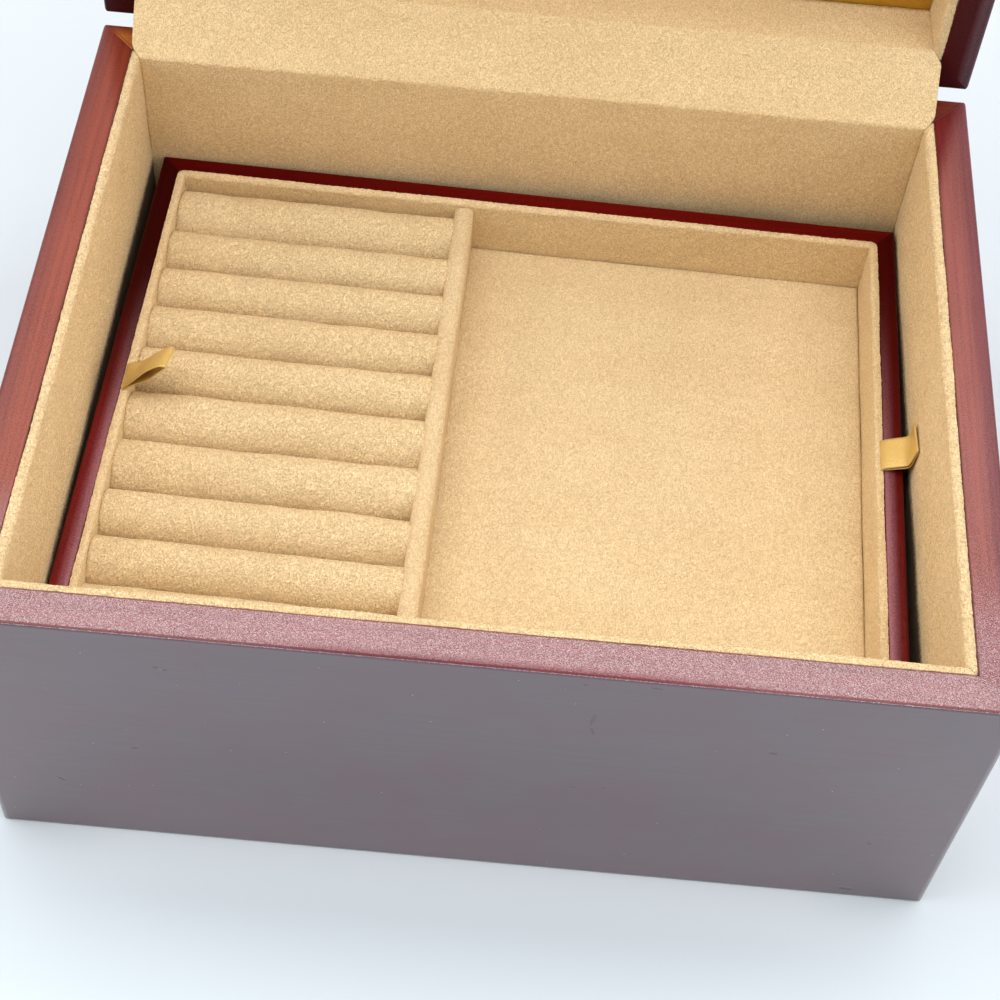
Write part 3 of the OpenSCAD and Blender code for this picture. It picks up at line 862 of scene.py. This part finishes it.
def roll_section(width, bottom, top, crown):
    """Outline of a roll as place across it and height: upright sides under a full crown."""
    angles = np.radians(np.linspace(0, 180, CROWN_POINTS))
    across = np.cos(angles) * width / 2
    height = top - crown + crown * np.sin(angles)
    return np.vstack([[(-width / 2, bottom), (width / 2, bottom)], np.column_stack([across, height])])


def waver(wave, x, i):
    """Height of a slow wave at a place along roll i."""
    depth, length, step, row = wave
    return depth * noise.noise(Vector((x / length, step * i, row)))


def add_roll(i, back):
    """One ring roll, whose back lies at the given place; returns the place of its front."""
    node = f"ring_roll_{i + 1}"
    low, high = straight_box(node, "tray")
    low[0] -= ROLL_TUCK
    high[0] += ROLL_TUCK
    width = ROLL_WIDTHS[i] * MM
    middle = back - width / 2
    inner = np.linspace(low[0] + ROLL_END, high[0] - ROLL_END, ROLL_STATIONS)[1:-1]
    stations = np.concatenate([low[0] + ROLL_RIM, inner, high[0] - ROLL_RIM[::-1]])
    inside = np.minimum(np.minimum(stations - low[0], high[0] - stations) / ROLL_END, 1.0)
    swell = np.sqrt(1 - (1 - inside) ** 2)
    columns = []
    for x, full in zip(stations, swell):
        lean = waver(ROLL_LEAN, x, i)
        crown = ROLL_CROWN * (ROLL_END_CROWN + (1 - ROLL_END_CROWN) * full)
        top = high[2] - ROLL_CROWN + crown + waver(ROLL_LIFT, x, i)
        broad = width * (ROLL_END_WIDTH + (1 - ROLL_END_WIDTH) * full)
        section = roll_section(broad, low[2], top, crown)
        columns.append([(x, middle + lean + y, z) for y, z in section])
    points = np.array(columns).transpose(1, 0, 2)
    faces = tube_faces(*points.shape[:2])
    piece = add_piece(f"felt_{node}", points, faces, "tray", ROLL_FELT, [node])
    roughen(piece, *ROLL_NAP)
    return back - width


def add_rolls():
    """All ring rolls, one in front of the other."""
    back = straight_box("ring_roll_1", "tray")[1][1] + TRAY_PRESS
    for i in range(len(ROLL_WIDTHS)):
        back = add_roll(i, back)


# Hinge flap


def flap_path():
    """Line of the flap's back as Y and Z, and the two ends of its free span."""
    case_low, case_high = straight_box("liner_back", "case")
    lid_low, lid_high = straight_box("lid_liner_back", "lid")
    bare = FLAP_THICK + FLAP_BEND
    turned = PLACES["lid"].to_3x3()
    lid_out, lid_up = (np.array(turned @ Vector(v))[1:] for v in ((0, -1, 0), (0, 0, 1)))
    case_centre = np.array([case_low[1] + bare, case_high[2] - FLAP_BEND])
    lid_centre = np.array(PLACES["lid"] @ Vector((0, lid_low[1] + bare, lid_low[2] + FLAP_BEND)))[1:]
    run = lid_centre - case_centre
    lean = math.degrees(math.atan2(run[0], -run[1]))
    first = arc(case_centre, FLAP_BEND, 180, lean, BEND_POINTS)
    lid_turn = math.degrees(math.atan2(lid_out[1], lid_out[0]))
    last = arc(lid_centre, FLAP_BEND, lean, lid_turn, BEND_POINTS)
    rise = first[0][1] - case_low[2] - FLAP_FOOT
    climb = first[0] - rise * np.linspace(1, 0, CLIMB_POINTS)[:-1, None] * np.array([0.0, 1.0])
    middle = first[-1] + np.linspace(0, 1, BRIDGE_POINTS)[1:-1, None] * (last[0] - first[-1])
    reach = lid_high[2] - lid_low[2] - FLAP_BEND - FLAP_SHORT
    onto_lid = last[-1] + reach * np.linspace(0, 1, LID_POINTS)[1:, None] * lid_up
    return np.vstack([climb, first, middle, last, onto_lid]), first[-1], last[0]


def flap_half_widths(outline):
    """Half the flap's width at each point: between the side liners on a face, and mitred out to the walls."""
    case_face = straight_box("liner_back", "case")[0]
    lid_face = PLACES["lid"] @ Vector(straight_box("lid_liner_back", "lid")[0])
    lid_in = np.array(PLACES["lid"].to_3x3() @ Vector((0, 1, 0)))[1:]
    behind_case = outline[:, 0] - case_face[1]
    behind_lid = (outline - np.array(lid_face)[1:]) @ lid_in
    clear = straight_box("liner_right", "case")[0][0] - FLAP_CLEAR
    widest = straight_box("hinge_flap", "case")[1][0]
    return np.clip(clear + np.minimum(behind_case, behind_lid), clear, widest)


def add_flap():
    """Felt sheet up the back liner, across the hinge and over the lid's back liner."""
    path, start, end = flap_path()
    steps = np.gradient(path, axis=0)
    out = np.column_stack([-steps[:, 1], steps[:, 0]])
    out /= np.linalg.norm(out, axis=1)[:, None]
    outline = np.vstack([path, (path + out * FLAP_THICK)[::-1]])
    half = flap_half_widths(outline)
    across = np.linspace(-1, 1, int(2 * half.max() / BOARD_STEP))
    points = np.array([[(share * h, y, z) for share in across] for (y, z), h in zip(outline, half)])
    piece = add_piece("felt_hinge_flap", points, tube_faces(*points.shape[:2]), "case", FLAP_FELT,
                      ["hinge_flap"], ride=False)
    roughen(piece, *FLAP_NAP)
    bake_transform(piece)


# Ribbon pulls


def smooth_path(points, steps=6):
    """Curve through the points, as an array."""
    p = np.array([points[0], *points, points[-1]], float)
    line = []
    for a, b, c, d in zip(p, p[1:], p[2:], p[3:]):
        for t in np.linspace(0, 1, steps, endpoint=False):
            line.append(0.5 * (2 * b + (c - a) * t + (2 * a - 5 * b + 4 * c - d) * t ** 2
                               + (3 * b - a - 3 * c + d) * t ** 3))
    return np.array([*line, p[-1]])


def add_pull(name, node, liner, inward, near_mm, far_mm, width, shift):
    """Folded ribbon between two edges, each given as distances from the tray's wall and heights in mm."""
    low, high = straight_box(liner, "tray")
    wall = low[0] if inward > 0 else high[0]
    near, far = (smooth_path(np.array(edge) * MM) for edge in (near_mm, far_mm))
    columns = []
    for share in np.linspace(0, 1, RIBBON_COLUMNS):
        line = near + share * (far - near)
        steps = np.gradient(line, axis=0)
        out = np.column_stack([-steps[:, 1], steps[:, 0]])
        out *= RIBBON_HALF / np.linalg.norm(out, axis=1)[:, None]
        y = shift + (share - 0.5) * width
        loop = np.vstack([line + out, (line - out)[::-1]])
        columns.append([(wall + inward * u, y, high[2] + z) for u, z in loop])
    points = np.array(columns).transpose(1, 0, 2)
    piece = add_piece(name, points, tube_faces(*points.shape[:2]), "tray", RIBBON, [node])


# Edges of the ribbons
LEFT_NEAR = [
    (0.35, -9), (0.35, -0.6), (1.3, 1.0), (4.8, 5.2), (9.0, 10.3), (12.6, 13.3), (15.0, 14.2), (16.0, 13.9),
    (15.2, 12.8), (12.7, 9.9), (10.3, 7.1), (7.0, 4.4), (2.9, 1.7), (0.95, -0.6), (0.9, -9),
]
LEFT_FAR = [
    (0.35, -9), (0.35, -0.6), (1.6, 1.6), (6.0, 3.7), (10.8, 8.3), (13.8, 11.1), (15.8, 12.3), (16.9, 11.7),
    (16.2, 10.5), (13.5, 7.3), (10.4, 4.9), (7.0, 2.9), (2.9, 1.4), (0.95, -0.6), (0.9, -9),
]
RIGHT_NEAR = [
    (0.35, -9), (0.35, -0.5), (-0.8, 0.3), (-4.0, 1.4), (-7.0, 2.4), (-8.2, 4.2), (-8.5, 8.0), (-8.7, 11.4),
    (-8.55, 12.1), (-8.25, 11.5), (-7.95, 8.0), (-7.5, 5.2), (-6.7, 3.6), (-4.0, 2.5), (-0.6, 1.3),
    (0.8, 0.3), (0.95, -0.6), (0.9, -9),
]
RIGHT_FAR = [
    (0.35, -9), (0.35, -0.5), (-0.8, 0.4), (-4.0, 1.7), (-7.1, 2.9), (-8.4, 4.9), (-8.5, 7.8), (-8.2, 10.8),
    (-8.0, 11.4), (-7.75, 10.8), (-8.0, 7.7), (-7.8, 5.6), (-6.8, 4.1), (-4.0, 2.9), (-0.6, 1.5), (0.8, 0.3),
    (0.95, -0.6), (0.9, -9),
]


# Assembly


def dress_rigid_nodes():
    """Gives wood and metal their materials."""
    for side in SIDES:
        finish_node(f"case_{side}", CASE_LACQUER[side])
        finish_node(f"lid_{side}", LID_LACQUER[side])
        finish_node(f"tray_{side}", TRAY_LACQUER[side])
    finish_node("lid_top", LID_LACQUER["front"])
    finish_node("base_board", BOARD)
    finish_node("tray_base", BOARD)
    for node in NODES:
        if node.startswith("hinge_") and node != "hinge_flap":
            finish_node(node, BRASS)


def dress_soft_nodes():
    """Makes the felt, satin and ribbon pieces."""
    add_lining("liner_", "case", *CASE_EDGES, flap=True)
    add_lining("lid_liner_", "lid", *CASE_EDGES, flap=True)
    add_lining("tray_liner_", "tray", *TRAY_EDGES, press=TRAY_PRESS)
    add_slab("felt_tray_pad", "tray_pad", "tray", PAD_FELT, PAD_EDGE, 1.5 * MM, PAD_NAP,
             reach=TRAY_PRESS)
    add_slab("felt_floor_pad", "floor_pad", "case", PAD_FELT, PAD_EDGE, 3 * MM, PAD_NAP)
    for side in ("left", "right"):
        node = f"tray_rest_{side}"
        add_slab(f"felt_{node}", node, "case", PAD_FELT, PAD_EDGE, 2 * MM, PAD_NAP)
    add_slab("satin_lid_panel", "lid_panel", "lid", GOLD_PANEL, PANEL_EDGE, 3 * MM, PANEL_NAP,
             face_up=False)
    add_divider()
    add_rolls()
    add_flap()
    add_pull("ribbon_left", "pull_left", "tray_liner_left", 1, LEFT_NEAR, LEFT_FAR, 10.2 * MM, 0.8 * MM)
    add_pull("ribbon_right", "pull_right", "tray_liner_right", -1, RIGHT_NEAR, RIGHT_FAR, 11.8 * MM, 1.3 * MM)


# Stage


def add_floor():
    """Pale floor, with painted light close to the front and the sides of the case that lightens the case's
    shadow there.
    """
    mesh = bpy.data.meshes.new("floor")
    corners = [(x * FLOOR_HALF, y * FLOOR_HALF, 0) for x, y in ((-1, -1), (1, -1), (1, 1), (-1, 1))]
    mesh.from_pydata(corners, [], [(0, 1, 2, 3)])
    t = Tree("floor")
    axes = t.axes()
    out_x, out_y = [t.minus(t.size_of(axes[i]), half) for i, half in enumerate(CASE_HALF)]
    before = t.times(t.span(out_y, *BEFORE_CASE[0]), t.span(out_x, *BEFORE_CASE[1]))
    beside = t.times(t.span(out_x, *BESIDE_CASE[0]), t.span(out_y, *BESIDE_CASE[1]))
    colour = t.mix(t.span(axes["Y"], *FLOOR_TURN), FLOOR_FRONT, FLOOR_BACK)
    # Painted light over the case's shadow close to its front and sides
    colour = t.mix(t.most(before, beside), colour, FLOOR_PAINTED_LIGHT)
    t.finish(Base_Color=colour, Roughness=0.7, Specular_IOR_Level=0.2)
    mesh.materials.append(t.material)
    floor = bpy.data.objects.new("floor", mesh)
    bpy.context.scene.collection.objects.link(floor)


def add_area(name, place, aim, size, power):
    """Soft rectangular light that faces a point."""
    lamp = bpy.data.lights.new(name, "AREA")
    lamp.shape = "RECTANGLE"
    lamp.size, lamp.size_y = size
    lamp.energy = power
    holder = bpy.data.objects.new(name, lamp)
    holder.location = place
    holder.rotation_euler = (Vector(aim) - Vector(place)).to_track_quat("-Z", "Y").to_euler()
    bpy.context.scene.collection.objects.link(holder)
    return holder


def add_light():
    """Lamps and an even room light."""
    for name, place, aim, size, power, blind in LAMPS:
        lamp = add_area(name, place, aim, size, power)
        setattr(lamp, blind, False)
    world = bpy.data.worlds.new("studio")
    bpy.context.scene.world = world
    world.use_nodes = True
    background = world.node_tree.nodes["Background"]
    background.inputs["Color"].default_value = ROOM_COLOUR
    background.inputs["Strength"].default_value = ROOM_STRENGTH


def add_camera():
    """Camera at the photograph's place."""
    lens = bpy.data.cameras.new("camera")
    lens.lens = CAMERA_LENS
    lens.sensor_width = CAMERA_SENSOR
    lens.clip_start = CAMERA_NEAR
    camera = bpy.data.objects.new("camera", lens)
    bpy.context.scene.collection.objects.link(camera)
    pan = Matrix.Rotation(math.radians(CAMERA_PAN), 3, "Z")
    tilt = Matrix.Rotation(math.radians(90 - CAMERA_TILT), 3, "X")
    roll = Matrix.Rotation(math.radians(CAMERA_ROLL), 3, "Z")
    camera.rotation_euler = (pan @ tilt @ roll).to_euler()
    camera.location = CAMERA_PLACE
    bpy.context.scene.camera = camera


add_camera()
add_floor()
add_light()
dress_rigid_nodes()
dress_soft_nodes()

bpy.context.scene.view_settings.view_transform = "Standard"
